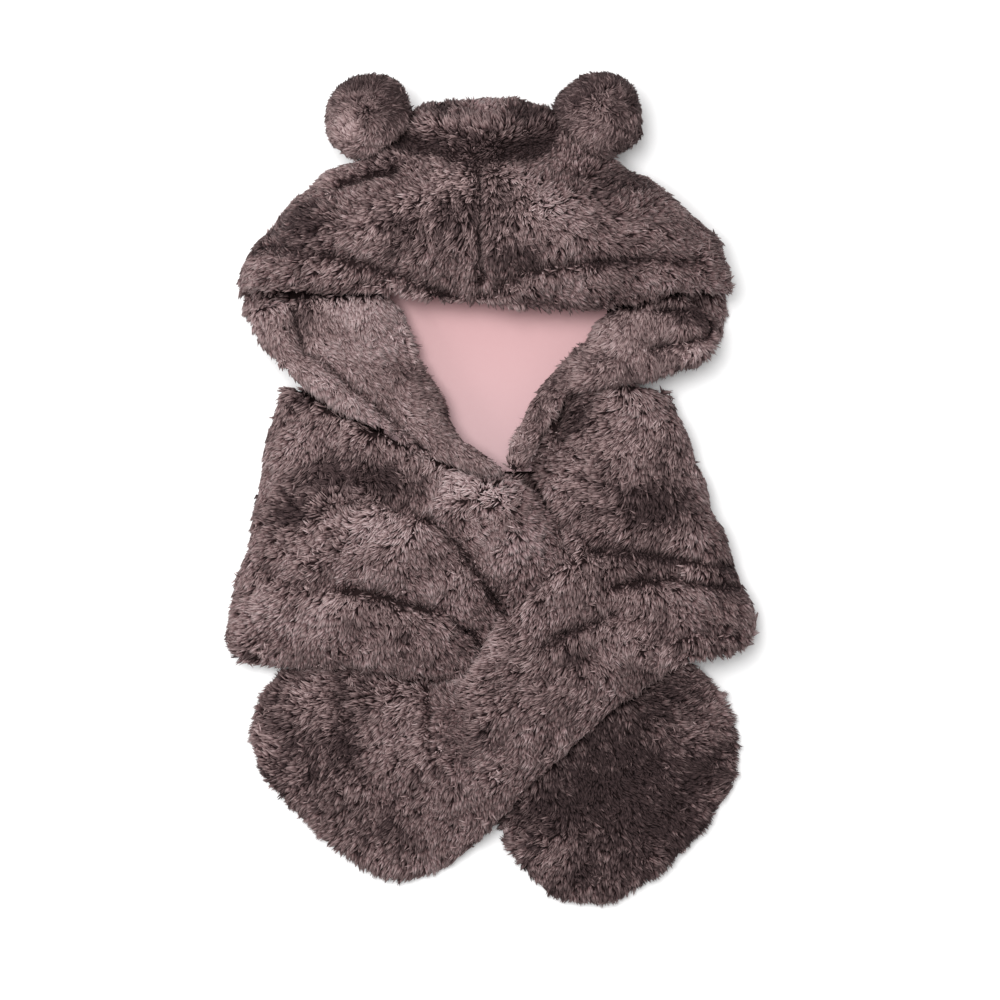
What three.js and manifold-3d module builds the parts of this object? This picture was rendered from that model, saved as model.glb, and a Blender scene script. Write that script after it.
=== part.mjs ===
// An animal hood scarf of thick plush, lying on its back: a two-panel hood with round stuffed ears,
// its face edge turned out so that the lining shows, and two scarf halves that fold over at the
// shoulders and cross in front. A plain card is tucked inside it. Millimetres, +Z up, the crown
// towards +Y. The origin is the middle of the part's outline, on the surface that it lies on.
import * as THREE from "three";
import { mergeVertices } from "three/addons/utils/BufferGeometryUtils.js";
import Module from "manifold-3d";

const wasm = await Module();
wasm.setup();

// Hood: corner to corner of the face opening, neck seam to crown, and how high its front stands.
const HOOD_WIDTH = 316;
const HOOD_HEIGHT = 190;
const HOOD_LOFT = 72;
const HOOD_THICK = 12;
const HOOD_SHIFT = -5.5;

// Turned-out edge of the face opening, how far it climbs over the scarf, and how far its hem reaches
// past the hood's side under it.
const LINING_THICK = 12;
const LINING_LIFT = 12;
const HEM_OVERHANG = 5;

// Scarf: the span across both shoulders, the drop of the wrap and of the longer tail below it, and
// the height of the crossing over the surface.
const SCARF_SPAN = 346;
const WRAP_DROP = 182;
const TAIL_DROP = 157;
const SCARF_THICK = 13;
const CROSS_HEIGHT = 44;

// Share of a scarf half's sections that the back and the shoulder fold take.
const FRONT_FROM = 0.22;

// Row of the turned-out edge's table from which the hood's side lies under it.
const SIDE_FROM = 5;

// Ears.
const EAR_WIDTH = 55;
const EAR_HEIGHT = 58;
const EAR_THICK = 40;
const EAR_SEAT = 36;
const EAR_DISH = 0.16;
const EAR_TAPER = 0.25;
const EAR_DISH_FALL = 2.5;

// Card inside the hood.
const CARD_WIDTH = 146;
const CARD_HEIGHT = 150;
const CARD_THICK = 1.2;
const CARD_CORNER = 6;
const CARD_DROP = 56;
const CARD_SHIFT = 2;

// Clearance between pieces that touch, and the height below which the pile is pressed flat.
const GAP = 0.4;
const PRESSED = 0.5;

// The card lies on the back walls, the hood's sides lie over the card, and the turned-out edge lies
// on the sides. These are the heights of the card's underside and of the two cloths' middles.
const CARD_BASE = Math.max(HOOD_THICK, SCARF_THICK) + GAP;
const SIDE_MIDDLE = CARD_BASE + CARD_THICK + GAP + HOOD_THICK / 2;
const LINING_MIDDLE = SIDE_MIDDLE + HOOD_THICK / 2 + GAP + LINING_THICK / 2;

// How full a cloth stays towards its edges, how many rows its ends round off over and where they
// start, and how far a face must lean up before folds press into it.
const WALL_ROUNDNESS = 10;
const ROLL_ROUNDNESS = 4;
const END_ROWS = 3;
const END_START = 0.35;
const FOLD_FACING = 0.3;

// Fineness: rows to each row of a table, points across each cloth, and steps round the ears and the
// card's corners.
const ROWS_PER_SECTION = 2;
const HOOD_ACROSS = 24;
const SIDE_ACROSS = 10;
const LINING_ACROSS = 8;
const SCARF_ACROSS = 13;
const EAR_STEPS = 22;
const CARD_CORNER_STEPS = 4;

const PLUSH_ROUGHNESS = 0.95;
const CARD_ROUGHNESS = 0.6;
const PLUSH = new THREE.Color(0.2, 0.145, 0.142);
const LINING = new THREE.Color(0.26, 0.19, 0.19);
const CARD_PINK = new THREE.Color(0.66, 0.4, 0.41);

// Hood sections from side to side, the wearer's right at the left. at is the share of half the
// hood's width. y is a share of the hood's height above the neck seam and z a share of its loft, for
// the front edge, the hump behind it, the valley before the crown, the crown, the top fold and the
// neck edge of the back.
const HOOD_SECTIONS = table("at brimY brimZ humpY humpZ valleyY valleyZ crownY crownZ topY neckY", [
  [-1.0, 0.31, 0.42, 0.33, 0.46, 0.35, 0.44, 0.365, 0.4, 0.39, 0.27],
  [-0.94, 0.318, 0.58, 0.36, 0.66, 0.4, 0.62, 0.42, 0.52, 0.445, 0.19],
  [-0.79, 0.312, 0.7, 0.41, 0.82, 0.49, 0.79, 0.55, 0.62, 0.6, 0.06],
  [-0.62, 0.3, 0.73, 0.45, 0.9, 0.59, 0.8, 0.67, 0.64, 0.735, 0.0],
  [-0.44, 0.308, 0.73, 0.49, 0.94, 0.68, 0.7, 0.75, 0.64, 0.8, 0.0],
  [-0.24, 0.272, 0.73, 0.5, 0.94, 0.76, 0.6, 0.885, 0.69, 0.965, 0.0],
  [0.0, 0.246, 0.72, 0.5, 0.91, 0.73, 0.62, 0.865, 0.74, 0.988, 0.0],
  [0.25, 0.238, 0.73, 0.5, 0.95, 0.77, 0.6, 0.885, 0.69, 0.957, 0.0],
  [0.46, 0.245, 0.74, 0.48, 0.97, 0.69, 0.72, 0.75, 0.64, 0.8, 0.0],
  [0.63, 0.276, 0.74, 0.45, 0.94, 0.59, 0.82, 0.66, 0.66, 0.725, 0.0],
  [0.79, 0.306, 0.72, 0.42, 0.86, 0.5, 0.8, 0.56, 0.64, 0.61, 0.05],
  [0.93, 0.315, 0.62, 0.38, 0.7, 0.43, 0.66, 0.47, 0.55, 0.51, 0.11],
  [1.0, 0.3, 0.46, 0.33, 0.52, 0.36, 0.5, 0.385, 0.44, 0.41, 0.19],
]);

// Turned-out edge, from the point of the V up to the corner of the face opening. roll is the fold
// beside the face and rim is the free hem. x is a share of half the hood's width and y of its
// height. z is 0 where the edge lies on the hood's side and 1 where it has climbed over the scarf.
const LINING_LEFT_SECTIONS = table("rollX rollY rollZ rimX rimY rimZ", [
  [0.075, -0.285, 0.9, 0.05, -0.303, 1.0],
  [0.0, -0.245, 0.6, -0.1, -0.283, 1.06],
  [-0.085, -0.195, 0.4, -0.25, -0.225, 1.04],
  [-0.15, -0.11, 0.25, -0.42, -0.155, 1.0],
  [-0.21, 0.0, 0.12, -0.59, -0.083, 0.98],
  [-0.265, 0.09, 0.05, -0.75, 0.0, 0.75],
  [-0.3, 0.19, 0.0, -0.87, 0.085, 0.38],
  [-0.335, 0.27, 0.0, -0.945, 0.17, 0.12],
  [-0.42, 0.34, 0.0, -0.96, 0.27, 0.0],
]);
const LINING_RIGHT_SECTIONS = table("rollX rollY rollZ rimX rimY rimZ", [
  [0.098, -0.288, 0.9, 0.135, -0.3, 1.0],
  [0.12, -0.215, 0.5, 0.215, -0.2, 0.95],
  [0.155, -0.13, 0.35, 0.275, -0.12, 0.85],
  [0.205, -0.045, 0.25, 0.35, -0.045, 0.8],
  [0.29, 0.055, 0.15, 0.46, -0.005, 0.7],
  [0.42, 0.15, 0.04, 0.62, 0.015, 0.6],
  [0.47, 0.23, 0.0, 0.8, 0.045, 0.3],
  [0.6, 0.285, 0.0, 0.93, 0.11, 0.0],
  [0.78, 0.325, 0.0, 0.965, 0.22, 0.0],
]);

// Scarf sections, from the centre back out to the shoulder fold, over to the front, across and down
// to the end of the tail. upper and lower are the scarf's two long edges. x is a share of half the
// span. y is 0 at the neck seam, -1 at the wrap's hem and -2 at the end of the longer tail. z is 0
// where the cloth lies flat and 1 at the crossing, and arch lifts the middle between both edges.
const SCARF_LEFT_SECTIONS = table("upperX upperY upperZ lowerX lowerY lowerZ arch", [
  [0.0, 0.0, 0.0, 0.0, -0.955, 0.0, 0.0],
  [-0.3, 0.0, 0.0, -0.38, -0.955, 0.0, 0.0],
  [-0.62, 0.0, 0.0, -0.79, -0.98, 0.0, 0.0],
  [-0.71, 0.0, 0.06, -0.93, -0.98, 0.05, 0.0],
  [-0.765, 0.0, 0.27, -0.985, -0.94, 0.22, 0.0],
  [-0.725, -0.02, 0.48, -0.935, -1.0, 0.38, 0.03],
  [-0.6, -0.065, 0.53, -0.75, -1.02, 0.36, 0.08],
  [-0.38, -0.17, 0.53, -0.52, -1.02, 0.35, 0.08],
  [-0.17, -0.26, 0.55, -0.33, -1.05, 0.36, 0.06],
  [0.03, -0.3, 0.58, -0.19, -1.06, 0.4, 0.04],
  [0.15, -0.36, 0.58, -0.1, -1.09, 0.3, 0.04],
  [0.26, -0.5, 0.48, -0.02, -1.22, 0.18, 0.04],
  [0.42, -0.72, 0.34, 0.0, -1.42, 0.08, 0.04],
  [0.62, -0.9, 0.33, 0.02, -1.55, 0.02, 0.0],
  [0.8, -1.03, 0.16, 0.03, -1.69, 0.0, 0.0],
  [0.91, -1.2, 0.02, 0.06, -1.79, 0.0, 0.0],
  [0.935, -1.37, 0.0, 0.13, -1.88, 0.0, 0.0],
  [0.89, -1.55, 0.0, 0.22, -1.97, 0.0, 0.0],
  [0.77, -1.72, 0.0, 0.33, -2.0, 0.0, 0.0],
  [0.65, -1.86, 0.0, 0.46, -2.0, 0.0, 0.0],
]);
const SCARF_RIGHT_SECTIONS = table("upperX upperY upperZ lowerX lowerY lowerZ arch", [
  [0.0, 0.0, 0.0, 0.0, -0.955, 0.0, 0.0],
  [0.3, 0.0, 0.0, 0.4, -0.955, 0.0, 0.0],
  [0.52, 0.0, 0.0, 0.78, -0.95, 0.0, 0.0],
  [0.59, -0.005, 0.06, 0.92, -0.93, 0.06, 0.0],
  [0.63, -0.015, 0.28, 0.98, -0.9, 0.3, 0.0],
  [0.58, 0.0, 0.46, 0.955, -0.94, 0.56, 0.04],
  [0.46, 0.03, 0.46, 0.84, -0.965, 0.68, 0.1],
  [0.31, 0.0, 0.42, 0.73, -0.995, 0.72, 0.12],
  [0.2, -0.1, 0.4, 0.64, -1.04, 0.7, 0.14],
  [0.14, -0.25, 0.37, 0.57, -1.09, 0.66, 0.18],
  [0.272, -0.44, 0.48, 0.5, -1.15, 0.63, 0.26],
  [0.312, -0.55, 0.8, 0.44, -1.2, 0.61, 0.18],
  [0.225, -0.655, 0.9, 0.37, -1.27, 0.56, 0.07],
  [0.13, -0.74, 0.96, 0.29, -1.35, 0.5, 0.0],
  [0.04, -0.82, 0.94, 0.2, -1.45, 0.43, 0.0],
  [-0.03, -0.92, 0.87, 0.11, -1.56, 0.37, 0.0],
  [-0.1, -1.03, 0.71, 0.03, -1.66, 0.33, 0.0],
  [-0.2, -1.05, 0.12, -0.05, -1.745, 0.2, 0.0],
  [-0.38, -0.99, 0.0, -0.13, -1.81, 0.04, 0.0],
  [-0.61, -0.975, 0.0, -0.24, -1.89, 0.0, 0.0],
  [-0.81, -1.03, 0.0, -0.36, -1.91, 0.0, 0.0],
  [-0.905, -1.2, 0.0, -0.46, -1.87, 0.0, 0.0],
  [-0.92, -1.34, 0.0, -0.57, -1.79, 0.0, 0.0],
  [-0.865, -1.49, 0.0, -0.67, -1.71, 0.0, 0.0],
]);

// Folds pressed into the front of a piece, from one end to the other, in the same shares as its
// sections. width is a share of half the scarf's span or the hood's width, and depth of the cloth's
// thickness. A negative depth is a ridge.
const SCARF_LEFT_FOLDS = table("fromX fromY toX toY width depth", [
  [-0.34, -0.42, -0.2, -0.49, 0.06, 0.3],
  [-0.2, -0.49, -0.12, -0.63, 0.06, 0.42],
  [-0.12, -0.63, 0.04, -0.81, 0.06, 0.42],
  [-0.62, -0.73, -0.4, -0.75, 0.05, 0.25],
  [-0.4, -0.75, -0.21, -0.81, 0.05, 0.35],
  [-0.21, -0.81, -0.02, -0.9, 0.06, 0.4],
]);
const SCARF_RIGHT_FOLDS = table("fromX fromY toX toY width depth", [
  [0.36, -0.58, 0.52, -0.58, 0.06, 0.3],
  [0.52, -0.58, 0.66, -0.61, 0.06, 0.25],
  [0.27, -0.87, 0.5, -0.75, 0.05, 0.3],
  [0.5, -0.75, 0.72, -0.68, 0.05, 0.3],
  [0.72, -0.68, 0.9, -0.71, 0.05, 0.2],
  [0.0, -1.1, 0.33, -0.93, 0.05, 0.25],
  [-0.23, -1.03, -0.22, -1.31, 0.05, 0.22],
]);
const HOOD_FOLDS = table("fromX fromY toX toY width depth", [
  [0.0, 0.24, 0.0, 0.72, 0.03, 0.2],
  [-0.9, 0.41, -0.4, 0.4, 0.05, 0.14],
  [-0.4, 0.4, 0.0, 0.36, 0.05, 0.14],
  [0.0, 0.36, 0.45, 0.36, 0.05, 0.14],
  [0.45, 0.36, 0.9, 0.42, 0.05, 0.14],
]);

// Ears, with their middles as shares of half the hood's width and of its height, and their lean.
const EARS = table("name x y lean", [
  ["ear_left", -0.466, 0.9, 0.25],
  ["ear_right", 0.465, 0.91, -0.1],
]);

// A table's rows, each value under the name of its column.
function table(names, rows) {
  const keys = names.split(" ");
  return rows.map((row) => Object.fromEntries(row.map((value, k) => [keys[k], value])));
}

// One number from a table's column, between rows, along a smooth curve through the rows.
function column(rows, key, t) {
  const last = rows.length - 1;
  const i = Math.min(Math.floor(t), last - 1);
  const f = t - i;
  const [a, b, c, d] = [i - 1, i, i + 1, i + 2].map((k) => rows[THREE.MathUtils.clamp(k, 0, last)][key]);
  return b + 0.5 * f * (c - a + f * (2 * a - 5 * b + 4 * c - d + f * (3 * (b - c) + d - a)));
}

// Even parts of a table's length, as row numbers with fractions.
function stations(rows, from = 0) {
  const count = (rows.length - 1 - from) * ROWS_PER_SECTION;
  return Array.from({ length: count + 1 }, (_, i) => from + i / ROWS_PER_SECTION);
}

// Shares from 0 to 1, closer together at both ends.
function sharesAcross(count) {
  return Array.from({ length: count + 1 }, (_, j) => 0.5 - 0.5 * Math.cos((Math.PI * j) / count));
}

// A cloth's fullness at a share w of the way across: round at both edges and even between them.
function fullness(w, roundness) {
  return Math.sqrt(Math.max(0, 1 - Math.abs(2 * w - 1) ** roundness));
}

// How deep the folds press in at a point of the plan, as a share of the cloth's thickness. place
// turns a fold's shares into a point.
function pressed(point, folds, place, unit) {
  let depth = 0;
  for (const fold of folds) {
    const from = place(fold.fromX, fold.fromY, 0);
    const to = place(fold.toX, fold.toY, 0);
    const run = new THREE.Line3(from.setZ(0), to.setZ(0));
    const flat = point.clone().setZ(0);
    const distance = run.closestPointToPoint(flat, true, new THREE.Vector3()).distanceTo(flat);
    depth = Math.max(depth, fold.depth * Math.exp(-((distance / (fold.width * unit)) ** 2)));
  }
  return depth;
}

const CLOTH = { roundness: WALL_ROUNDNESS, flip: false, grow: 0, dent: () => 0 };

// A closed solid with both faces half a thickness off a grid of points on the cloth's middle. It is
// pressed flat where it lies on the surface. dent gives the share of the thickness that folds take
// from its front. grow makes it larger all round, for cutting its seat into a neighbour.
function clothSolid(grid, thick, options) {
  const { roundness, flip, grow, dent } = { ...CLOTH, ...options };
  const rows = grid.length;
  const across = grid[0].length - 1;
  const rings = [];
  for (let i = 0; i < rows; i++) {
    const run = [0];
    for (let j = 1; j <= across; j++) run.push(run[j - 1] + grid[i][j].distanceTo(grid[i][j - 1]));
    const ends = fullness(Math.min(0.5, (Math.min(i, rows - 1 - i) + END_START) / (2 * END_ROWS)), 2);
    const outer = [];
    const inner = [];
    for (let j = 0; j <= across; j++) {
      const along = grid[Math.min(i + 1, rows - 1)][j].clone().sub(grid[Math.max(i - 1, 0)][j]);
      const over = grid[i][Math.min(j + 1, across)].clone().sub(grid[i][Math.max(j - 1, 0)]);
      const edge = j === 0 ? -1 : j === across ? 1 : 0;
      const middle = grid[i][j].clone().addScaledVector(over.clone().normalize(), edge * grow);
      const half = edge ? 0 : (thick / 2) * ends * fullness(run[j] / run[across], roundness);
      const normal = along.cross(over).normalize().multiplyScalar(flip ? -1 : 1);
      const front = Math.abs(normal.z) > FOLD_FACING ? dent(middle, i / rows) * 2 * half : 0;
      const [lift, sink] = normal.z > 0 ? [half - front, half] : [half, half - front];
      outer.push(middle.clone().addScaledVector(normal, edge ? 0 : lift + grow));
      inner.push(middle.clone().addScaledVector(normal, edge ? 0 : -sink - grow));
    }
    const ring = [...outer, ...inner.slice(1, -1).reverse()];
    for (const point of ring) point.z = point.z < PRESSED ? -grow : point.z;
    rings.push(ring);
  }
  return solidOf(loft(rings));
}

// A closed mesh through rings with as many points each. Each ring runs out along one face of the
// cloth and back along the other, and both ends are capped from face to face.
function loft(rings) {
  const size = rings[0].length;
  const half = size / 2;
  const start = (rings.length - 1) * size;
  const index = [];
  for (let i = 0; i + 1 < rings.length; i++) {
    for (let k = 0; k < size; k++) {
      const a = i * size + k;
      const b = i * size + ((k + 1) % size);
      index.push(a, b, b + size, a, b + size, a + size);
    }
  }
  for (let k = 0; k < half; k++) {
    const far = (size - k) % size;
    const near = size - 1 - k;
    if (k + 1 !== near) index.push(k, near, k + 1, start + k, start + k + 1, start + near);
    if (k !== far) index.push(k, far, near, start + k, start + near, start + far);
  }
  const corners = rings.flat();
  const geometry = new THREE.BufferGeometry().setFromPoints(corners);
  geometry.setIndex(index);
  return geometry;
}

// A three.js geometry as a solid that can be joined and cut, turned the right way out.
function solidOf(geometry) {
  const positions = geometry.getAttribute("position").array;
  const triVerts = Uint32Array.from(geometry.getIndex().array);
  if (signedVolume(positions, triVerts) < 0) triVerts.reverse();
  const vertProperties = Float32Array.from(positions);
  return new wasm.Manifold(new wasm.Mesh({ numProp: 3, vertProperties, triVerts }));
}

function signedVolume(positions, triangles) {
  const corner = (i) => new THREE.Vector3().fromArray(positions, 3 * triangles[i]);
  let sum = 0;
  for (let i = 0; i < triangles.length; i += 3) sum += corner(i).cross(corner(i + 1)).dot(corner(i + 2));
  return sum / 6;
}

// A solid as a named mesh with its own material.
function meshOf(solid, name, color) {
  const { vertProperties, triVerts } = solid.getMesh();
  const geometry = new THREE.BufferGeometry();
  geometry.setAttribute("position", new THREE.BufferAttribute(vertProperties, 3));
  geometry.setIndex(new THREE.BufferAttribute(triVerts, 1));
  geometry.computeVertexNormals();
  const material = new THREE.MeshStandardMaterial({ color, roughness: PLUSH_ROUGHNESS });
  const mesh = new THREE.Mesh(geometry, material);
  mesh.name = name;
  return mesh;
}

// A point over the hood's plan, from shares of its half width and height.
function hoodPoint(x, y, z) {
  return new THREE.Vector3(HOOD_SHIFT + (x * HOOD_WIDTH) / 2, y * HOOD_HEIGHT, z);
}

// Hood: one wall that runs from the front edge over the hump, the valley and the crown, round the
// top fold and down the back to the neck.
function hoodGrid() {
  const back = HOOD_THICK / 2;
  return stations(HOOD_SECTIONS).map((t) => {
    const at = (key) => column(HOOD_SECTIONS, key, t);
    const [brim, hump, valley, crown] = ["brim", "hump", "valley", "crown"].map((key) =>
      hoodPoint(at("at"), at(key + "Y"), at(key + "Z") * HOOD_LOFT - back),
    );
    const top = hoodPoint(at("at"), at("topY"), (crown.z + back) / 2);
    top.y -= back;
    const turn = top.clone().setZ(back);
    turn.y -= (crown.z - back) / 2;
    const neck = hoodPoint(at("at"), at("neckY"), back);
    neck.y += GAP;
    const points = [brim, hump, valley, crown, top, turn, turn.clone().lerp(neck, 0.5), neck];
    return new THREE.CatmullRomCurve3(points, false, "centripetal").getSpacedPoints(HOOD_ACROSS);
  });
}

// Side of the hood under the turned-out edge: it comes round from the back wall at the outline and
// ends short of the fold beside the face.
function sideGrid(sections, from) {
  const back = HOOD_THICK / 2;
  return stations(sections, from).map((t) => {
    const at = (key) => column(sections, key, t);
    const roll = hoodPoint(at("rollX"), at("rollY"), SIDE_MIDDLE);
    const rim = hoodPoint(at("rimX"), at("rimY"), SIDE_MIDDLE);
    const out = rim.clone().sub(roll).normalize();
    const inset = (point, inward, z) => point.clone().addScaledVector(out, -inward).setZ(z);
    const side = inset(rim, HEM_OVERHANG + back, SIDE_MIDDLE);
    const points = [
      inset(roll, -HEM_OVERHANG, SIDE_MIDDLE),
      roll.clone().lerp(side, 0.5),
      inset(side, back, SIDE_MIDDLE),
      inset(side, 0, (SIDE_MIDDLE + back) / 2),
      inset(side, back, back),
      inset(side, 3 * back, back),
    ];
    return new THREE.CatmullRomCurve3(points, false, "centripetal").getSpacedPoints(SIDE_ACROSS);
  });
}

function hoodSolid(grow = 0) {
  const folds = (point) => pressed(point, HOOD_FOLDS, hoodPoint, HOOD_WIDTH / 2);
  const dent = (point) => (point.z > HOOD_THICK ? folds(point) : 0);
  return clothSolid(hoodGrid(), HOOD_THICK, { grow, dent })
    .add(clothSolid(sideGrid(LINING_LEFT_SECTIONS, SIDE_FROM), HOOD_THICK, { grow }))
    .add(clothSolid(sideGrid(LINING_RIGHT_SECTIONS, SIDE_FROM), HOOD_THICK, { grow }));
}

// Turned-out edge: a soft flat roll from the fold beside the face out to the free hem.
function liningSolid(sections) {
  const grid = stations(sections).map((t) => {
    const at = (key) => column(sections, key, t);
    const roll = hoodPoint(at("rollX"), at("rollY"), LINING_MIDDLE + at("rollZ") * LINING_LIFT);
    const rim = hoodPoint(at("rimX"), at("rimY"), LINING_MIDDLE + at("rimZ") * LINING_LIFT);
    return sharesAcross(LINING_ACROSS).map((w) => roll.clone().lerp(rim, w));
  });
  return clothSolid(grid, LINING_THICK, { roundness: ROLL_ROUNDNESS });
}

// A point over the scarf's plan: y runs down the wrap to -1 and down the tails to -2.
function scarfPoint(x, y, z) {
  const drop = Math.min(-y, 1) * WRAP_DROP + Math.max(-y - 1, 0) * TAIL_DROP;
  return new THREE.Vector3((x * SCARF_SPAN) / 2, -drop, SCARF_THICK / 2 + Math.max(z, 0) * CROSS_HEIGHT);
}

// One half of the scarf, from the centre back to the end of its tail. side is -1 at the left.
function scarfSolid(sections, folds, side, grow = 0) {
  const grid = stations(sections).map((t) => {
    const at = (key) => column(sections, key, t);
    const upper = scarfPoint(at("upperX"), at("upperY"), at("upperZ"));
    const lower = scarfPoint(at("lowerX"), at("lowerY"), at("lowerZ"));
    const arch = (w) => at("arch") * CROSS_HEIGHT * Math.sin(Math.PI * w);
    return sharesAcross(SCARF_ACROSS).map((w) => {
      const point = upper.clone().lerp(lower, w);
      return point.add(new THREE.Vector3((side * GAP) / 2, 0, Math.max(0, arch(w))));
    });
  });
  const creases = (point) => pressed(point, folds, scarfPoint, SCARF_SPAN / 2);
  const dent = (point, share) => (share > FRONT_FROM ? creases(point) : 0);
  return clothSolid(grid, SCARF_THICK, { flip: side > 0, grow, dent });
}

// Ear: a stuffed round with a shallow dish in front, narrower where it is sewn to the hood.
function earSolid({ x, y, lean }) {
  const round = new THREE.SphereGeometry(1, EAR_STEPS, Math.round(EAR_STEPS * 0.64));
  const geometry = mergeVertices(round.deleteAttribute("normal").deleteAttribute("uv"));
  const position = geometry.getAttribute("position");
  for (let i = 0; i < position.count; i++) {
    const point = new THREE.Vector3().fromBufferAttribute(position, i);
    const dish = point.z > 0 ? EAR_DISH * Math.exp(-EAR_DISH_FALL * (point.x ** 2 + point.y ** 2)) : 0;
    const taper = 1 - EAR_TAPER * Math.max(0, -point.y) ** 2;
    position.setXYZ(i, point.x * taper, point.y, point.z - dish);
  }
  geometry.scale(EAR_WIDTH / 2, EAR_HEIGHT / 2, EAR_THICK / 2);
  geometry.rotateZ(lean);
  const middle = hoodPoint(x, y, EAR_SEAT);
  geometry.translate(middle.x, middle.y, middle.z);
  return solidOf(geometry);
}

// The largest piece of a cut solid, without slivers that the cut leaves behind the hood.
function largest(solid) {
  return solid.decompose().sort((a, b) => b.volume() - a.volume())[0];
}

// Card: a plain rectangle with round corners, lying on the back of the hood and the scarf.
function cardGeometry() {
  const [w, h, r] = [CARD_WIDTH / 2, CARD_HEIGHT / 2, CARD_CORNER];
  const shape = new THREE.Shape();
  shape.moveTo(-w + r, -h);
  shape.lineTo(w - r, -h);
  shape.absarc(w - r, -h + r, r, -Math.PI / 2, 0);
  shape.lineTo(w, h - r);
  shape.absarc(w - r, h - r, r, 0, Math.PI / 2);
  shape.lineTo(-w + r, h);
  shape.absarc(-w + r, h - r, r, Math.PI / 2, Math.PI);
  shape.lineTo(-w, -h + r);
  shape.absarc(-w + r, -h + r, r, Math.PI, 1.5 * Math.PI);
  const options = { depth: CARD_THICK, bevelEnabled: false, curveSegments: CARD_CORNER_STEPS };
  const geometry = new THREE.ExtrudeGeometry(shape, options);
  return mergeVertices(geometry.deleteAttribute("normal").deleteAttribute("uv"));
}

const group = new THREE.Group();
const hood = hoodSolid();
const hoodSeat = hoodSolid(GAP);
const left = scarfSolid(SCARF_LEFT_SECTIONS, SCARF_LEFT_FOLDS, -1);
const leftSeat = scarfSolid(SCARF_LEFT_SECTIONS, SCARF_LEFT_FOLDS, -1, GAP);
const right = scarfSolid(SCARF_RIGHT_SECTIONS, SCARF_RIGHT_FOLDS, 1).subtract(leftSeat);
const rightSeat = scarfSolid(SCARF_RIGHT_SECTIONS, SCARF_RIGHT_FOLDS, 1, GAP);
group.add(meshOf(hood, "hood", PLUSH));
const linings = { lining_left: LINING_LEFT_SECTIONS, lining_right: LINING_RIGHT_SECTIONS };
for (const [name, sections] of Object.entries(linings)) {
  const lining = liningSolid(sections).subtract(hoodSeat).subtract(leftSeat).subtract(rightSeat);
  group.add(meshOf(lining, name, LINING));
}
group.add(meshOf(left, "scarf_left", PLUSH));
group.add(meshOf(right, "scarf_right", PLUSH));
for (const ear of EARS) group.add(meshOf(largest(earSolid(ear).subtract(hoodSeat)), ear.name, PLUSH));
const cardMaterial = new THREE.MeshStandardMaterial({ color: CARD_PINK, roughness: CARD_ROUGHNESS });
const card = new THREE.Mesh(cardGeometry(), cardMaterial);
card.name = "insert_card";
card.position.set(CARD_SHIFT, -CARD_DROP + CARD_HEIGHT / 2, CARD_BASE);
group.add(card);

const box = new THREE.Box3().setFromObject(group, true);
const middle = box.getCenter(new THREE.Vector3());
group.position.set(-middle.x, -middle.y, -box.min.z);
export default group;
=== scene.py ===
import math

import bmesh
import bpy
import numpy as np
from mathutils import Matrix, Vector
from mathutils.bvhtree import BVHTree
from mathutils.kdtree import KDTree


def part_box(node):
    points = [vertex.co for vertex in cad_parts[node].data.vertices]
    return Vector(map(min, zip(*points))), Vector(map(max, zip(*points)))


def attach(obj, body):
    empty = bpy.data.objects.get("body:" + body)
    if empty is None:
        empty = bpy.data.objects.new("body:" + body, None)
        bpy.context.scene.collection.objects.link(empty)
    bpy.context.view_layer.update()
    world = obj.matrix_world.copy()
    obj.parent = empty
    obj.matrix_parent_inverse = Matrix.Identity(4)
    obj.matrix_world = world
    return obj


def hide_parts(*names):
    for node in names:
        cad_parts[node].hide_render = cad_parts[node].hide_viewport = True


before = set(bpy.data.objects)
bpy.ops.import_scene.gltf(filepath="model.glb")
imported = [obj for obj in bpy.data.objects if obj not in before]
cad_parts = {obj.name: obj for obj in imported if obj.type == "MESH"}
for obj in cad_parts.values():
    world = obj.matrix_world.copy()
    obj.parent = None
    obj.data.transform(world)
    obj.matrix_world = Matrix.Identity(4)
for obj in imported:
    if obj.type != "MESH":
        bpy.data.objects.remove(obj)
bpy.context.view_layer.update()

scene = bpy.context.scene

# Camera: straight above the garment as it lies on its back, with the crown at the top of the
# picture. A long lens keeps the sides of the plush from leaning outwards.
LENS = 100
SENSOR = 36
VIEW_WIDTH = 0.65
VIEW_MIDDLE = (0.0058, -0.006)
VIEW_LEVEL = 0.03

camera_data = bpy.data.cameras.new("camera")
camera_data.lens = LENS
camera_data.sensor_width = SENSOR
camera = bpy.data.objects.new("camera", camera_data)
camera.location = (*VIEW_MIDDLE, VIEW_LEVEL + VIEW_WIDTH * LENS / SENSOR)
scene.collection.objects.link(camera)
scene.camera = camera
scene.view_settings.view_transform = "Standard"


# Studio: a plain pale table top under one large soft lamp above the crown, a weaker one from the
# left and even light from all round. Materials are made here for the first time, so the small
# class that writes their nodes is here too.
def paint(red, green, blue):
    """A colour as it looks on a screen, from 0 to 255, as the light that a shader works with."""
    shares = [value / 255 for value in (red, green, blue)]
    light = [s / 12.92 if s < 0.04045 else ((s + 0.055) / 1.055) ** 2.4 for s in shares]
    return (*light, 1.0)


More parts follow.
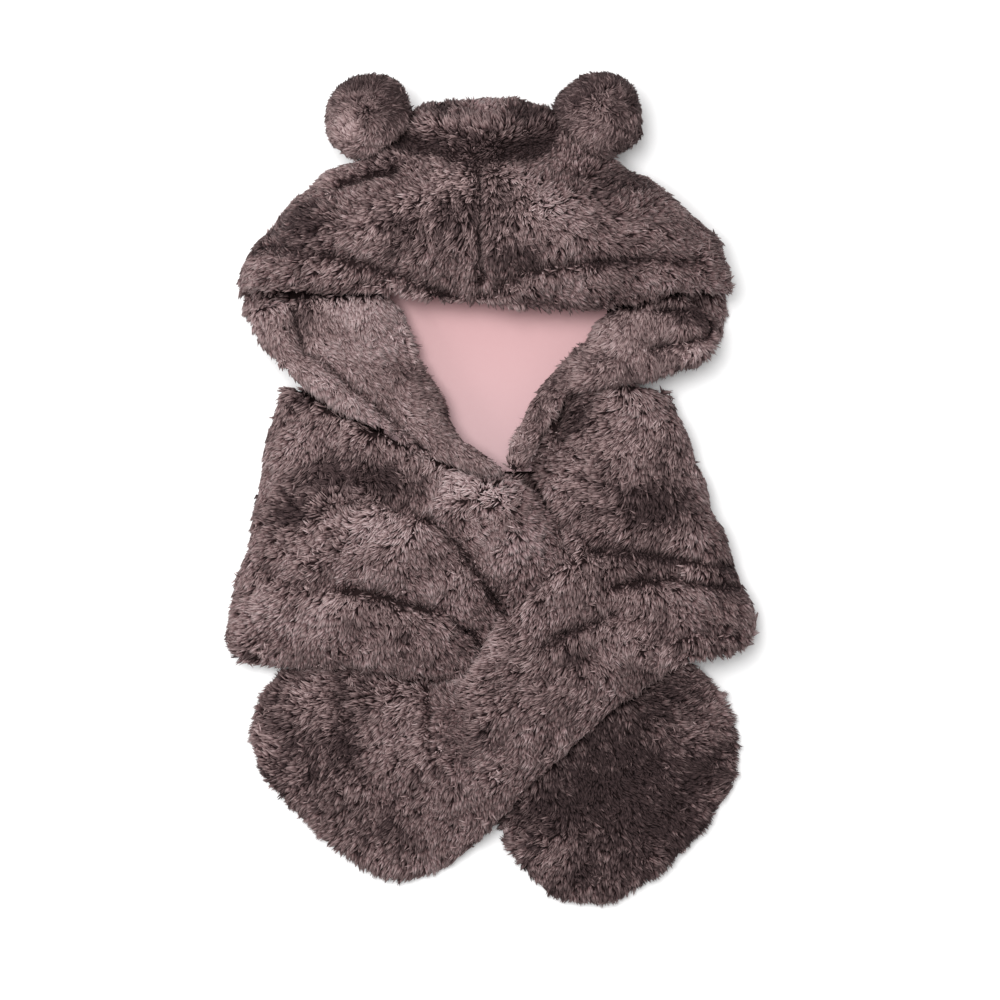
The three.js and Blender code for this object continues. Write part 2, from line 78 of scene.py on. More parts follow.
class Shade:
    """A shader socket that takes part in sums, and from which further nodes are made."""

    def __init__(self, tree, socket=None):
        self.tree = tree
        self.socket = socket

    def node(self, kind, settings=None, inputs=None, output=0):
        """A new node of a type, with its settings first and then its sockets' values or links."""
        made = self.tree.nodes.new(kind)
        for name, value in (settings or {}).items():
            if name == "stops":
                ramp = made.color_ramp
                while len(ramp.elements) < len(value):
                    ramp.elements.new(0.5)
                for stop, (place, colour) in zip(ramp.elements, value):
                    stop.position = place
                    stop.color = colour
            else:
                setattr(made, name, value)
        for name, value in (inputs or {}).items():
            if isinstance(value, Shade):
                self.tree.links.new(value.socket, made.inputs[name])
            else:
                made.inputs[name].default_value = value
        return Shade(self.tree, made.outputs[output] if len(made.outputs) else None)

    def maths(self, operation, first, second):
        return self.node("ShaderNodeMath", {"operation": operation}, {0: first, 1: second})

    def __add__(self, other):
        return self.maths("ADD", self, other)

    def __mul__(self, other):
        return self.maths("MULTIPLY", self, other)

    __radd__ = __add__
    __rmul__ = __mul__

    def mix(self, first, second):
        """One colour or another, with this value as the share of the second."""
        return self.node("ShaderNodeMix", {"data_type": "RGBA"}, {0: self, 6: first, 7: second}, 2)


def material(name):
    """An empty material, and the tree in which its nodes are made."""
    made = bpy.data.materials.new(name)
    made.use_nodes = True
    made.node_tree.nodes.clear()
    return made, Shade(made.node_tree)


def surface(shade, inputs):
    """Ends a material in one Principled shader."""
    shader = shade.node("ShaderNodeBsdfPrincipled", None, inputs)
    shade.node("ShaderNodeOutputMaterial", None, {"Surface": shader})


TABLE_HALF = 3.0
table_bm = bmesh.new()
bmesh.ops.create_grid(table_bm, x_segments=1, y_segments=1, size=TABLE_HALF)
table_mesh = bpy.data.meshes.new("table_top")
table_bm.to_mesh(table_mesh)
table_bm.free()
table_top = bpy.data.objects.new("table_top", table_mesh)
scene.collection.objects.link(table_top)
table_material, table_shade = material("pale_table")
surface(table_shade, {"Base Color": paint(252, 252, 252), "Roughness": 0.8})
table_mesh.materials.append(table_material)

# Lamps: name, place and size in metres, and power in watts.
LAMPS = [
    ("lamp_above", (-0.25, 0.28, 1.85), 0.9, 32.0),
    ("lamp_left", (-1.4, 0.3, 0.9), 0.8, 8.0),
]
for lamp_name, lamp_place, lamp_size, lamp_power in LAMPS:
    lamp_data = bpy.data.lights.new(lamp_name, "AREA")
    lamp_data.size = lamp_size
    lamp_data.energy = lamp_power
    lamp = bpy.data.objects.new(lamp_name, lamp_data)
    lamp.location = lamp_place
    lamp.rotation_euler = (-Vector(lamp_place)).to_track_quat("-Z", "Y").to_euler()
    scene.collection.objects.link(lamp)
EVEN_LIGHT = 0.47
world = bpy.data.worlds.new("even_light")
scene.world = world
world.use_nodes = True
background = world.node_tree.nodes["Background"]
background.inputs["Color"].default_value = (1.0, 1.0, 1.0, 1.0)
background.inputs["Strength"].default_value = EVEN_LIGHT

# Hood: two panels of long-pile plush joined by a seam over the head, with the edge of the face
# opening turned under. The knitted backing is a soft wall, and the pile stands on it in pointed
# locks that lie over each other. Folds and the seam are pressed into the backing.
# Backings in metres: their fineness, how far under the solid's skin they lie, the height and the
# breadth of their lumps, and how far they keep off the table.
VOXEL = 0.0035
WELD = 1e-5
SOFTEN_STEPS = 4
SOFTEN_SHARE = 0.5
PILE_DEPTH = 0.0022
LUMP = 0.0013
LUMP_SIZE = 0.045
FLOOR_CLEARANCE = 0.0003

# Folds in millimetres: places along the fold, its half width and its depth.
HOOD_FOLDS = [
    ([(-56, 227), (-33, 221), (-8, 212), (9, 216), (37, 224)], 9, 8),
    ([(-94, 197), (-77, 201), (-62, 205)], 5, 8),
    ([(-6, 206), (-7, 163), (-7, 138)], 3.6, 7),
    ([(-7, 138), (-7, 120)], 2.9, 5),
    ([(-33, 256), (-30, 240)], 5, 4),
    ([(24, 252), (20, 238)], 5, 4),
    ([(-150, 155), (-101, 152), (-75, 146), (-53, 138), (-22, 126)], 5, 5),
    ([(4, 132), (22, 142), (58, 147), (101, 149), (131, 146)], 5, 4.5),
    ([(71, 116), (90, 119), (110, 123), (129, 123), (140, 114)], 4.5, 8),
]
# Combing in millimetres and degrees: a place, and the way that the tips of the pile point there,
# anticlockwise from +X.
HOOD_COMB = [
    (-148, 127, 215), (-128, 162, 165), (-98, 194, 140), (-53, 207, 120), (-68, 167, -155),
    (-38, 152, -125), (-20, 168, -112), (-20, 192, -112), (6, 184, -68), (42, 207, 100),
    (-118, 126, -105), (-58, 118, -115), (2, 112, -80), (62, 114, -60), (122, 124, -70),
    (62, 172, -30), (87, 192, 35), (107, 162, -15), (137, 162, 10), (-18, 237, 100), (27, 237, 80),
    (-38, 217, 160), (32, 217, 20), (6, 150, -68), (42, 147, -75), (-20, 148, -112),
    (-20, 128, -110), (6, 128, -70),
]
# Nap in millimetres: middle and radii of a patch, and how much lighter than the rest it is. The
# lightness is painted light and shade of the nap, with painted shade in hollows and under overlaps.
HOOD_NAP_AND_LIGHT = [
    (-30, 244, 20, 12, -0.42), (22, 242, 16, 11, -0.38), (-5, 249, 8, 12, 0.34),
    (-23, 222, 36, 7, -0.3), (19, 220, 20, 6, -0.25), (-67, 203, 9, 5, -0.5),
    (-116, 171, 24, 11, -0.4), (-60, 173, 14, 12, -0.42), (-22, 182, 12, 20, -0.42),
    (-48, 203, 12, 9, 0.2), (-90, 189, 9, 8, 0.14), (-124, 147, 25, 6, 0.16),
    (-62, 134, 26, 6, 0.12), (6, 170, 8, 26, -0.22), (19, 153, 20, 8, -0.22),
    (48, 181, 20, 13, 0.18), (76, 194, 26, 11, -0.34), (84, 136, 40, 6, 0.2),
    (139, 144, 9, 12, 0.1),
]


def copy_of(name, node):
    """A CAD node's shape as a new soft piece of even fineness."""
    bm = bmesh.new()
    bm.from_mesh(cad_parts[node].data)
    bm.transform(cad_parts[node].matrix_world)
    bmesh.ops.remove_doubles(bm, verts=bm.verts, dist=WELD)
    mesh = bpy.data.meshes.new(name)
    bm.to_mesh(mesh)
    bm.free()
    piece = bpy.data.objects.new(name, mesh)
    scene.collection.objects.link(piece)
    even = piece.modifiers.new("even", "REMESH")
    even.mode = "VOXEL"
    even.voxel_size = VOXEL
    soften = piece.modifiers.new("soften", "SMOOTH")
    soften.factor = SOFTEN_SHARE
    soften.iterations = SOFTEN_STEPS
    finished = piece.evaluated_get(bpy.context.evaluated_depsgraph_get())
    piece.data = bpy.data.meshes.new_from_object(finished)
    piece.modifiers.clear()
    return piece


def read(mesh, what):
    """The places or the normals of a mesh's vertices."""
    values = np.empty(len(mesh.vertices) * 3, np.float32)
    mesh.vertices.foreach_get(what, values)
    return values.reshape(-1, 3).astype(np.float64)


WAVES = 7
WAVE_SPREAD = (0.6, 1.6)


def ripple(points, size, seed):
    """A smooth random value from about -1 to 1 at each point, with swells of about that size."""
    rng = np.random.default_rng(seed)
    total = np.zeros(len(points))
    for _ in range(WAVES):
        way = rng.normal(size=3)
        way *= rng.uniform(*WAVE_SPREAD) * 2 * math.pi / size / np.linalg.norm(way)
        total += np.sin(points @ way + rng.uniform(0, 2 * math.pi))
    return total / math.sqrt(WAVES)


def distance_to(points, path):
    """How far each point of the plan lies from a path, in metres."""
    nearest = np.full(len(points), 1e3)
    flat = points[:, :2]
    for start, end in zip(path, path[1:]):
        a, b = np.array(start) / 1000, np.array(end) / 1000
        share = np.clip((flat - a) @ (b - a) / ((b - a) @ (b - a)), 0, 1)
        nearest = np.minimum(nearest, np.linalg.norm(flat - a - share[:, None] * (b - a), axis=1))
    return nearest


# How far a normal points up where pile and lumps come in, where folds do, and over how much of it.
# Then how fine, dark and deep the knit is, and the heights between which the table presses it pale.
UNDERSIDE, TOPSIDE, TILT = -0.9, 0.1, 0.4
KNIT_SCALE = 900.0
KNIT_DARK = 0.6
KNIT_BUMP = 0.5
KNIT_DEPTH = 0.0006
PRESSED_FROM, PRESSED_TO = 0.001, 0.004
PRESSED_KNIT = paint(112, 90, 89)


def backing(name, node, folds, seed, colour):
    """The knitted backing of a plush piece, under the pile, with its folds pressed in."""
    piece = copy_of(name, node)
    mesh = piece.data
    points, normals = read(mesh, "co"), read(mesh, "normal")
    lying = np.clip((normals[:, 2] - UNDERSIDE) / TILT, 0, 1)
    points -= normals * (PILE_DEPTH * lying)[:, None]
    points += normals * (LUMP * lying * ripple(points, LUMP_SIZE, seed))[:, None]
    facing_up = np.clip((normals[:, 2] - TOPSIDE) / TILT, 0, 1)
    for path, width, depth in folds:
        press = np.exp(-((distance_to(points, path) * 1000 / width) ** 2))
        points[:, 2] -= depth / 1000 * press * facing_up
    points[:, 2] = np.maximum(points[:, 2], FLOOR_CLEARANCE)
    mesh.vertices.foreach_set("co", points.astype(np.float32).ravel())
    mesh.polygons.foreach_set("use_smooth", np.ones(len(mesh.polygons), bool))
    mesh.update()
    knit, shade = material(name + "_knit")
    place = shade.node("ShaderNodeTexCoord", None, None, 3)
    parts = shade.node("ShaderNodeSeparateXYZ", None, {0: place})
    height = Shade(shade.tree, parts.socket.node.outputs[2])
    loops = shade.node(
        "ShaderNodeTexNoise", None, {"Vector": place, "Scale": KNIT_SCALE, "Detail": 2.0}
    )
    dark = tuple(KNIT_DARK * value for value in colour[:3]) + (1.0,)
    bump = shade.node(
        "ShaderNodeBump", None, {"Height": loops, "Strength": KNIT_BUMP, "Distance": KNIT_DEPTH}
    )
    pressed = shade.node(
        "ShaderNodeMapRange",
        None,
        {"Value": height, "From Min": PRESSED_FROM, "From Max": PRESSED_TO},
    )
    surface(shade, {
        "Base Color": pressed.mix(PRESSED_KNIT, loops.mix(dark, colour)),
        "Roughness": 0.95,
        "Specular IOR Level": 0.1,
        "Normal": bump,
    })
    mesh.materials.clear()
    mesh.materials.append(knit)
    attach(piece, "root")
    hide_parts(node)
    return piece


def solids_cover():
    """All the CAD solids as one tree for finding out what lies in the open."""
    corners, faces = [], []
    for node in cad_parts.values():
        first = len(corners)
        corners += [node.matrix_world @ vertex.co for vertex in node.data.vertices]
        faces += [[first + k for k in face.vertices] for face in node.data.polygons]
    return BVHTree.FromPolygons(corners, faces)


# Open places: looks are cast straight up and to four sides from a little above the backing. Where
# one starts inside a wall and soon leaves it, that wall is the piece's own and is looked through.
COVER = solids_cover()
SKYWARD = [(0, 0, 1), (1, 0, 0.7), (-1, 0, 0.7), (0, 1, 0.7), (0, -1, 0.7)]
SKY = [Vector(way).normalized() for way in SKYWARD]
GRAZING = 0.05
OUT_OF_THE_BACKING = 0.0035
FOLD_REACH = 0.013
PAST_THE_WALL = 1e-4
FROM_ABOVE, FROM_THE_SIDE, HIDDEN = 1.0, 0.5, 0.1


def openness(point, normal):
    """How thickly the pile is set: full where it is seen from above, thinner at the sides and
    sparse where the cloth lies on itself."""
    start = Vector(point + normal * OUT_OF_THE_BACKING)
    for way in SKY:
        if way.dot(normal) < GRAZING:
            continue
        place, facing, _, distance = COVER.ray_cast(start, way)
        if place is not None and facing.dot(way) > 0 and distance < FOLD_REACH:
            place = COVER.ray_cast(place + way * PAST_THE_WALL, way)[0]
        if place is None:
            return FROM_ABOVE if way is SKY[0] else FROM_THE_SIDE
    return HIDDEN


# Combed places blend over a distance of which this is the square, in square millimetres.
COMB_BLEND = 150


def combed(points, comb):
    """The way that the pile lies in the plan at each point, between the combed places, and how well
    the places near it agree."""
    ways = np.zeros((len(points), 2))
    total = np.zeros(len(points))
    for x, y, turn in comb:
        near = 1 / (((points[:, :2] * 1000 - (x, y)) ** 2).sum(1) + COMB_BLEND) ** 2
        ways += near[:, None] * (math.cos(math.radians(turn)), math.sin(math.radians(turn)))
        total += near
    return np.arctan2(ways[:, 1], ways[:, 0]), np.linalg.norm(ways, axis=1) / total


def unit(vectors):
    """The same directions, each of length one."""
    return vectors / np.maximum(np.linalg.norm(vectors, axis=1), 1e-9)[:, None]


# A lock: four points, which are its root under the backing's skin, the two sides of its waist and
# its tip. Then its own sizes in metres, what they vary by, and its place on its map.
LOCK_FACES = np.array([(0, 2, 1), (3, 1, 2), (0, 1, 3), (0, 3, 2)])
LOCK_LENGTH, LENGTH_SPREAD = 0.0088, (0.6, 1.2)
LOCK_WIDTH, WIDTH_SPREAD = 0.0013, (0.7, 1.3)
ROOT_DEPTH = 0.0012
LOWER_SHARE, UPPER_SHARE = 0.5, 0.55
UV_WIDTH = 0.006
UV_ALONG = (0.02, 0.5, 0.5, 0.98)
CARD_LOW, CARD_HIGH = (np.array(corner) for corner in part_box("insert_card"))
# How locks hang together: locks to a clump, how far the tips of a clump are drawn to one, how much
# a lock follows its clump, and the share of strays.
CLUMP = 6
GATHERED, GATHERED_AT = 0.45, 1.15
FOLLOW = 0.5
STRAYS = 0.12
# How locks are turned, in radians: swells over a size in metres, and each lock by itself.
LONG_TURN, LONG_SIZE = 0.75, 0.055
SHORT_TURN, SHORT_SIZE = 0.6, 0.018
PARTING_TURN, PARTING_SIZE = 1.2, 0.02
LOCK_TURN, STRAY_TURN, CROSSING_TURN = 0.4, 1.3, 1.7
DROOP = 0.15
# Where locks stand up: each by itself, and more if it strays, in dark nap and where the pile parts.
RISE_SPREAD = (0.35, 1.0)
STRAY_RISE = 0.3
NAP_RISE, NAP_RISE_LIMITS = 0.7, (-0.1, 0.35)
PARTING_AT, PARTING_SLOPE = 1.3, 2
PARTING_RISE, PARTING_LEAN = 0.3, 0.4
LOWER_LEAN = 0.75
TIP_RISE, TIP_DROOP, TIP_PARTING_RISE = 0.25, 0.1, 0.1
# Where locks are short or have painted shade: in folds, in full from a depth in millimetres, and
# in patches of nap, which also hold painted light. Both show on the side that is turned up.
PINCH_DEPTH, PINCH_WIDTH = 7, 0.8
PINCH_SHORT, FOLD_PAINTED_SHADE = 0.4, 0.45
NAP_SHORT, NAP_SHORT_LIMIT = 0.25, 0.6
UPWARD, NAP_REACH = 2, 0.3
BROAD_TONE, BROAD_SIZE = 0.13, 0.04
FINE_TONE, FINE_SIZE = 0.07, 0.015
# Painted light where the pile parts, to even out its shade; then each lock's and clump's own random
# shade.
PARTING_PAINTED_LIGHT, LOCK_SHADE, CLUMP_SHADE = 0.2, 0.12, 0.11


def pile(name, skin, locks, comb, nap, folds, tone, seed, curl=0.45, lift=1.0):
    """Pointed locks of pile on a backing, as one closed mesh each, joined. Neighbours lean their
    tips together. Locks stand up where the nap is dark and where the combing parts, and are short
    in a fold. Locks in a fold get painted shade, where the pile parts painted light, and in nap
    patches painted light and shade. Each lock's map holds its shade across and root to tip upwards."""
    rng = np.random.default_rng(seed)
    mesh = skin.data
    mesh.calc_loop_triangles()
    corners = np.empty(len(mesh.loop_triangles) * 3, np.int32)
    mesh.loop_triangles.foreach_get("vertices", corners)
    corners = corners.reshape(-1, 3)
    points, normals = read(mesh, "co"), read(mesh, "normal")
    a, b, c = (points[corners[:, k]] for k in range(3))
    area = np.linalg.norm(np.cross(b - a, c - a), axis=1)
    roots, ups = [], []
    found = 0
    while found < locks:
        face = rng.choice(len(area), size=locks, p=area / area.sum())
        shares = rng.dirichlet((1, 1, 1), size=locks)
        spots = sum(shares[:, k, None] * points[corners[face, k]] for k in range(3))
        outs = unit(sum(shares[:, k, None] * normals[corners[face, k]] for k in range(3)))
        chance = rng.random(locks)
        kept = np.array([openness(p, n) > r for p, n, r in zip(spots, outs, chance)])
        outside = (spots[:, :2] < CARD_LOW[:2]) | (spots[:, :2] > CARD_HIGH[:2])
        beside = outside.any(axis=1) | (spots[:, 2] > CARD_HIGH[2])
        kept &= beside | (spots[:, 2] < CARD_LOW[2] - LOCK_LENGTH)
        roots.append(spots[kept])
        ups.append(outs[kept])
        found += int(kept.sum())
    root = np.concatenate(roots)[:locks]
    up = np.concatenate(ups)[:locks]

    turn, agreed = combed(root, comb)
    parting = np.clip(PARTING_AT - PARTING_SLOPE * agreed, 0, 1)
    turn += PARTING_TURN * parting * ripple(root, PARTING_SIZE, seed + 4)
    long_swell = LONG_TURN * curl * ripple(root, LONG_SIZE, seed + 1)
    turn += long_swell + SHORT_TURN * curl * ripple(root, SHORT_SIZE, seed + 2)
    centre_count = locks // CLUMP
    centres = rng.choice(locks, size=centre_count, replace=False)
    tree = KDTree(centre_count)
    for number, centre in enumerate(centres):
        tree.insert(Vector(root[centre]), number)
    tree.balance()
    owner = centres[[tree.find(Vector(point))[1] for point in root]]

    in_fold = np.zeros(locks)
    for path, fold_width, fold_depth in folds:
        across = distance_to(root, path) * 1000 / fold_width / PINCH_WIDTH
        in_fold = np.maximum(in_fold, np.exp(-(across**2)) * min(1, fold_depth / PINCH_DEPTH))
    in_fold *= np.clip(up[:, 2] * UPWARD, 0, 1)
    patch = BROAD_TONE * ripple(root, BROAD_SIZE, seed + 3)
    patch += FINE_TONE * ripple(root, FINE_SIZE, seed + 5)
    for x, y, wide, high, lighter in nap:
        off = (root[:, 0] * 1000 - x) ** 2 / wide**2 + (root[:, 1] * 1000 - y) ** 2 / high**2
        patch += lighter * np.exp(-off) * np.clip(up[:, 2] * UPWARD + NAP_REACH, 0, 1)
    # Painted shade in folds, painted light where the pile parts, and the nap's painted light and
    # shade.
    shade = tone + patch - FOLD_PAINTED_SHADE * in_fold + PARTING_PAINTED_LIGHT * parting
    shade += rng.normal(0, LOCK_SHADE, locks)
    shade += CLUMP_SHADE * rng.normal(size=locks)[owner]
    shade = np.clip(shade, UV_WIDTH, 1 - UV_WIDTH)

    def lie(turns, outs):
        """The way ahead of locks that lie on the backing, turned so in the plan."""
        way = np.stack([np.cos(turns), np.sin(turns), np.full(len(turns), -DROOP)], axis=1)
        return unit(way - outs * (way * outs).sum(1)[:, None])

    stray = rng.random(locks) < STRAYS
    wander = np.where(stray, STRAY_TURN, LOCK_TURN * curl) + CROSSING_TURN * parting
    own = turn + rng.normal(0, wander, locks)
    follow = np.where(stray, 0.0, FOLLOW * (1 - parting))
    ahead = unit(lie(own, up) + follow[:, None] * lie(turn[owner], up[owner]))
    size = LOCK_LENGTH * rng.uniform(*LENGTH_SPREAD, locks)
    size *= 1 - PINCH_SHORT * in_fold - NAP_SHORT * np.clip(-patch, 0, NAP_SHORT_LIMIT)
    rise = lift * rng.uniform(*RISE_SPREAD, locks) + STRAY_RISE * stray
    rise += np.clip(-NAP_RISE * patch, *NAP_RISE_LIMITS)
    lean = 1 - PARTING_LEAN * parting
    lower_rise = rise + PARTING_RISE * parting
    upper_rise = TIP_RISE * rise - TIP_DROOP + TIP_PARTING_RISE * parting
    lower = unit(up * lower_rise[:, None] + ahead * (LOWER_LEAN * lean)[:, None])
    upper = unit(up * upper_rise[:, None] + ahead * lean[:, None])
    base = root - up * ROOT_DEPTH
    waist = base + lower * (LOWER_SHARE * size)[:, None]
    tip = waist + upper * (UPPER_SHARE * size)[:, None]
    shared = tip[owner] - waist[owner]
    meeting = root[owner] + shared * GATHERED_AT + (waist[owner] - root[owner])
    tip += GATHERED * (meeting - tip)
    half_width = LOCK_WIDTH / 2 * rng.uniform(*WIDTH_SPREAD, locks)
    side = unit(np.cross(up, ahead)) * half_width[:, None]
    corners = np.stack([base, waist + side, waist - side, tip], axis=1)
    corners[:, :, 2] = np.maximum(corners[:, :, 2], FLOOR_CLEARANCE)

    made = bpy.data.meshes.new(name)
    faces = (LOCK_FACES[None] + 4 * np.arange(locks)[:, None, None]).reshape(-1)
    made.vertices.add(4 * locks)
    made.vertices.foreach_set("co", corners.astype(np.float32).ravel())
    made.loops.add(len(faces))
    made.loops.foreach_set("vertex_index", faces.astype(np.int32))
    made.polygons.add(len(faces) // 3)
    made.polygons.foreach_set("loop_start", np.arange(0, len(faces), 3, dtype=np.int32))
    made.polygons.foreach_set("use_smooth", np.ones(len(faces) // 3, bool))
    shade_spots = shade[:, None] + np.array([0, UV_WIDTH, -UV_WIDTH, 0])
    map_spots = np.stack([shade_spots, np.broadcast_to(UV_ALONG, (locks, 4))], axis=2)
    layer = made.uv_layers.new(name="OFBake")
    layer.uv.foreach_set("vector", map_spots.reshape(-1, 2)[faces].astype(np.float32).ravel())
    made.update(calc_edges=True)
    made.validate()
    made.materials.append(TAUPE)
    piece = bpy.data.objects.new(name, made)
    scene.collection.objects.link(piece)
    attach(piece, "root")
    return piece


PLUSH_STOPS = (0.12, 0.5, 0.95)


def plush(name, dark, even, light):
    """Pile that is dark at its roots and pale at its tips, lighter where the nap catches light.
    Each argument holds the colours of root, waist and tip."""
    made, shade = material(name)
    place = shade.node("ShaderNodeUVMap", {"uv_map": "OFBake"})
    parts = shade.node("ShaderNodeSeparateXYZ", None, {0: place})
    across, along = (Shade(shade.tree, parts.socket.node.outputs[k]) for k in (0, 1))
    ramps = [
        shade.node("ShaderNodeValToRGB", {"stops": list(zip(PLUSH_STOPS, colours))}, {"Fac": along})
        for colours in (dark, even, light)
    ]
    clamped = {"operation": "MULTIPLY_ADD", "use_clamp": True}
    to_even = shade.node("ShaderNodeMath", clamped, {0: across, 1: 2.0, 2: 0.0})
    to_light = shade.node("ShaderNodeMath", clamped, {0: across, 1: 2.0, 2: -1.0})
    colour = to_light.mix(to_even.mix(ramps[0], ramps[1]), ramps[2])
    surface(shade, {"Base Color": colour, "Roughness": 0.75, "Specular IOR Level": 0.2})
    return made


TAUPE = plush(
    "taupe_pile",
    (paint(8, 4, 4), paint(38, 26, 27), paint(88, 69, 69)),
    (paint(22, 12, 13), paint(89, 67, 67), paint(188, 162, 160)),
    (paint(54, 38, 38), paint(139, 114, 115), paint(222, 202, 201)),
)
TAUPE_KNIT = paint(40, 28, 28)

hood_backing = backing("hood_backing", "hood", HOOD_FOLDS, 11, TAUPE_KNIT)
hood_pile = pile("hood_pile", hood_backing, 48000, HOOD_COMB, HOOD_NAP_AND_LIGHT, HOOD_FOLDS, 0.42, 21)

# Turned-out edge of the face opening: the hood's soft lining, folded back at both sides of the face
# down to the point of the V. It is the same plush in a lighter, evener nap. A groove runs where the
# lining is stitched to the outer plush beside its hem.
LINING_LEFT_FOLDS = [
    ([(-128, 122), (-127, 108), (-122, 91), (-104, 79), (-82, 61), (-61, 43), (-42, 26)], 4.5, 7),
]
LINING_RIGHT_FOLDS = [
    ([(45, 67), (35, 58), (28, 41), (23, 27)], 4, 3),
    ([(108, 119), (129, 120), (139, 113), (143, 106), (136, 100), (104, 94)], 4, 6),
]
LINING_LEFT_COMB = [
    (-148, 112, -80), (-128, 92, -65), (-98, 102, -70), (-78, 82, -35), (-108, 62, -70),
    (-68, 52, -50), (-58, 27, -60), (-28, 22, -40), (-38, 72, 15), (-8, 14, -60),
]
LINING_RIGHT_COMB = [
    (14, 17, 40), (27, 42, 200), (42, 67, 210), (62, 87, 200), (82, 102, 215), (47, 52, -50),
    (82, 72, -70), (122, 80, -80), (142, 102, -30), (112, 102, -110),
]
# Nap: patches of painted light and shade, with painted shade under the brim at the top left.
LINING_NAP_AND_LIGHT = [
    (-82, 100, 22, 17, 0.14), (-40, 47, 13, 22, -0.14), (-122, 76, 14, 10, 0.08),
    (-79, 47, 20, 8, 0.1), (-121, 116, 9, 9, -0.35), (-84, 70, 22, 5, -0.16),
    (76, 80, 28, 9, -0.28), (84, 104, 18, 9, -0.1), (128, 116, 16, 7, -0.3), (35, 49, 9, 16, -0.05),
    (129, 90, 16, 6, 0.1),
]
LINING_TONE = {"left": 0.62, "right": 0.49}

for side, folds, comb, locks, seed in (
    ("left", LINING_LEFT_FOLDS, LINING_LEFT_COMB, 18000, 31),
    ("right", LINING_RIGHT_FOLDS, LINING_RIGHT_COMB, 14000, 41),
):
    lining = backing("lining_" + side + "_backing", "lining_" + side, folds, seed, TAUPE_KNIT)
    lining_pile = pile(
        "lining_" + side + "_pile",
        lining,
        locks,
        comb,
        LINING_NAP_AND_LIGHT,
        folds,
        LINING_TONE[side],
        seed + 1,
    )

# Scarf: two wide halves of the same plush, doubled, joined at the centre back. Each folds over at
# the shoulder to the front. The left half puffs up under the point of the V and runs under the
# right half to the lower right, where its tail lies on the curlier side of the pile, with its
# locks standing up and darkened by painted shade.
LEFT_FOLDS = [
    ([(-40, -18), (-28, -28), (-16, -42), (-2, -63), (9, -79)], 4.5, 8),
    ([(-95, -63), (-72, -67), (-49, -74), (-33, -78), (-14, -92), (-2, -105)], 4.5, 7),
    ([(-106, -14), (-82, -9), (-59, -10), (-40, -18)], 6, 3),
    ([(-153, -45), (-131, -59), (-95, -63)], 7, 2),
]
LEFT_COMB = [
    (-148, 2, 210), (-158, -58, 215), (-148, -98, 200), (-108, 22, 245), (-98, -8, 120),
    (-58, 7, -60), (-78, -28, 180), (-118, -28, 185), (-68, -48, -95), (-38, -58, -75),
    (-108, -78, -120), (-68, -93, -80), (-28, -98, -60), (-88, -108, -80), (-118, -113, 240),
    (-20, 2, -160), (2, -20, -105), (27, -18, -60), (2, -48, -100), (-18, -28, -45), (32, -38, -70),
    (42, -8, 30), (122, -138, 0), (152, -148, 20), (82, -158, -80), (62, -198, -70),
    (102, -198, -30), (62, -238, -90), (112, -228, -40), (142, -188, -10), (22, -218, 200),
    (-6, 11, 150), (14, 8, 40), (24, -5, -15), (-36, -108, -85),
]
# Nap: patches of painted light and shade; the lower right tail is dark with painted shade.
LEFT_NAP_AND_LIGHT = [
    (-116, 60, 16, 7, -0.3), (-86, 9, 34, 15, -0.8), (-127, -16, 14, 10, -0.55),
    (-69, -28, 34, 11, 0.38), (-140, 27, 16, 20, 0.02), (-147, -74, 22, 22, 0.14),
    (-15, 2, 24, 11, 0.46), (7, -2, 10, 8, 0.12), (-14, -19, 16, 11, 0.26), (22, -34, 18, 16, 0.26),
    (-40, -105, 17, 6, -0.16), (-98, -97, 26, 8, 0.08), (9, -64, 9, 9, -0.15),
    (89, -196, 78, 74, -0.7), (150, -136, 10, 22, 0.34), (40, -240, 26, 8, 0.14),
    (71, -176, 12, 6, 0.2), (107, -159, 12, 6, 0.16), (60, -200, 16, 8, 0.1),
    (118, -190, 10, 14, 0.08),
]
scarf_left = backing("scarf_left_backing", "scarf_left", LEFT_FOLDS, 51, TAUPE_KNIT)
scarf_left_pile = pile(
    "scarf_left_pile", scarf_left, 48500, LEFT_COMB, LEFT_NAP_AND_LIGHT, LEFT_FOLDS, 0.5, 52
)

# The right half crosses over the left one as a broad band, dives under the left panel's hem and
# ends as the lower left tail. Two creases run into the band from the shoulder.
RIGHT_FOLDS = [
    ([(46, -20), (59, -27)], 4, 3),
    ([(53, -38), (31, -59), (8, -79)], 4.5, 5.5),
    ([(66, -38), (93, -38), (123, -42), (154, -49)], 4.5, 5),
    ([(79, -60), (97, -57), (118, -55), (136, -59), (163, -61)], 4.5, 6),
    ([(35, -97), (55, -87), (81, -78)], 4.5, 5),
    ([(118, -93), (136, -90), (159, -92)], 3, 3),
    ([(40, 67), (47, 53), (45, 33)], 4, 5),
    ([(71, 62), (60, 49), (49, 33)], 4, 3),
    ([(-40, -126), (-38, -144), (-38, -170)], 3, 2.5),
    ([(-98, -136), (-90, -175), (-69, -201)], 8, 2.5),
]
RIGHT_COMB = [
    (122, 42, -60), (102, 22, -110), (62, 22, 190), (62, 2, 200), (92, -8, -100), (142, 2, -60),
    (112, -28, -90), (152, -38, -50), (62, -28, -150), (62, -58, -100), (102, -48, -80),
    (152, -78, -60), (162, -98, -60), (112, -73, -85), (92, -98, -100), (62, -98, -100),
    (32, -78, -120), (12, -98, -140), (22, -118, -160), (52, -128, -110), (22, -148, -130),
    (-8, -128, 175), (-18, -158, 190), (-58, -138, 200), (-88, -128, 180), (-128, -138, 170),
    (-148, -168, 190), (-118, -188, 230), (-78, -168, 215), (-58, -208, 240), (-18, -198, 250),
    (2, -178, -120), (-38, -228, 250), (-98, -218, 225), (-36, -121, 90), (-70, -122, 110),
]
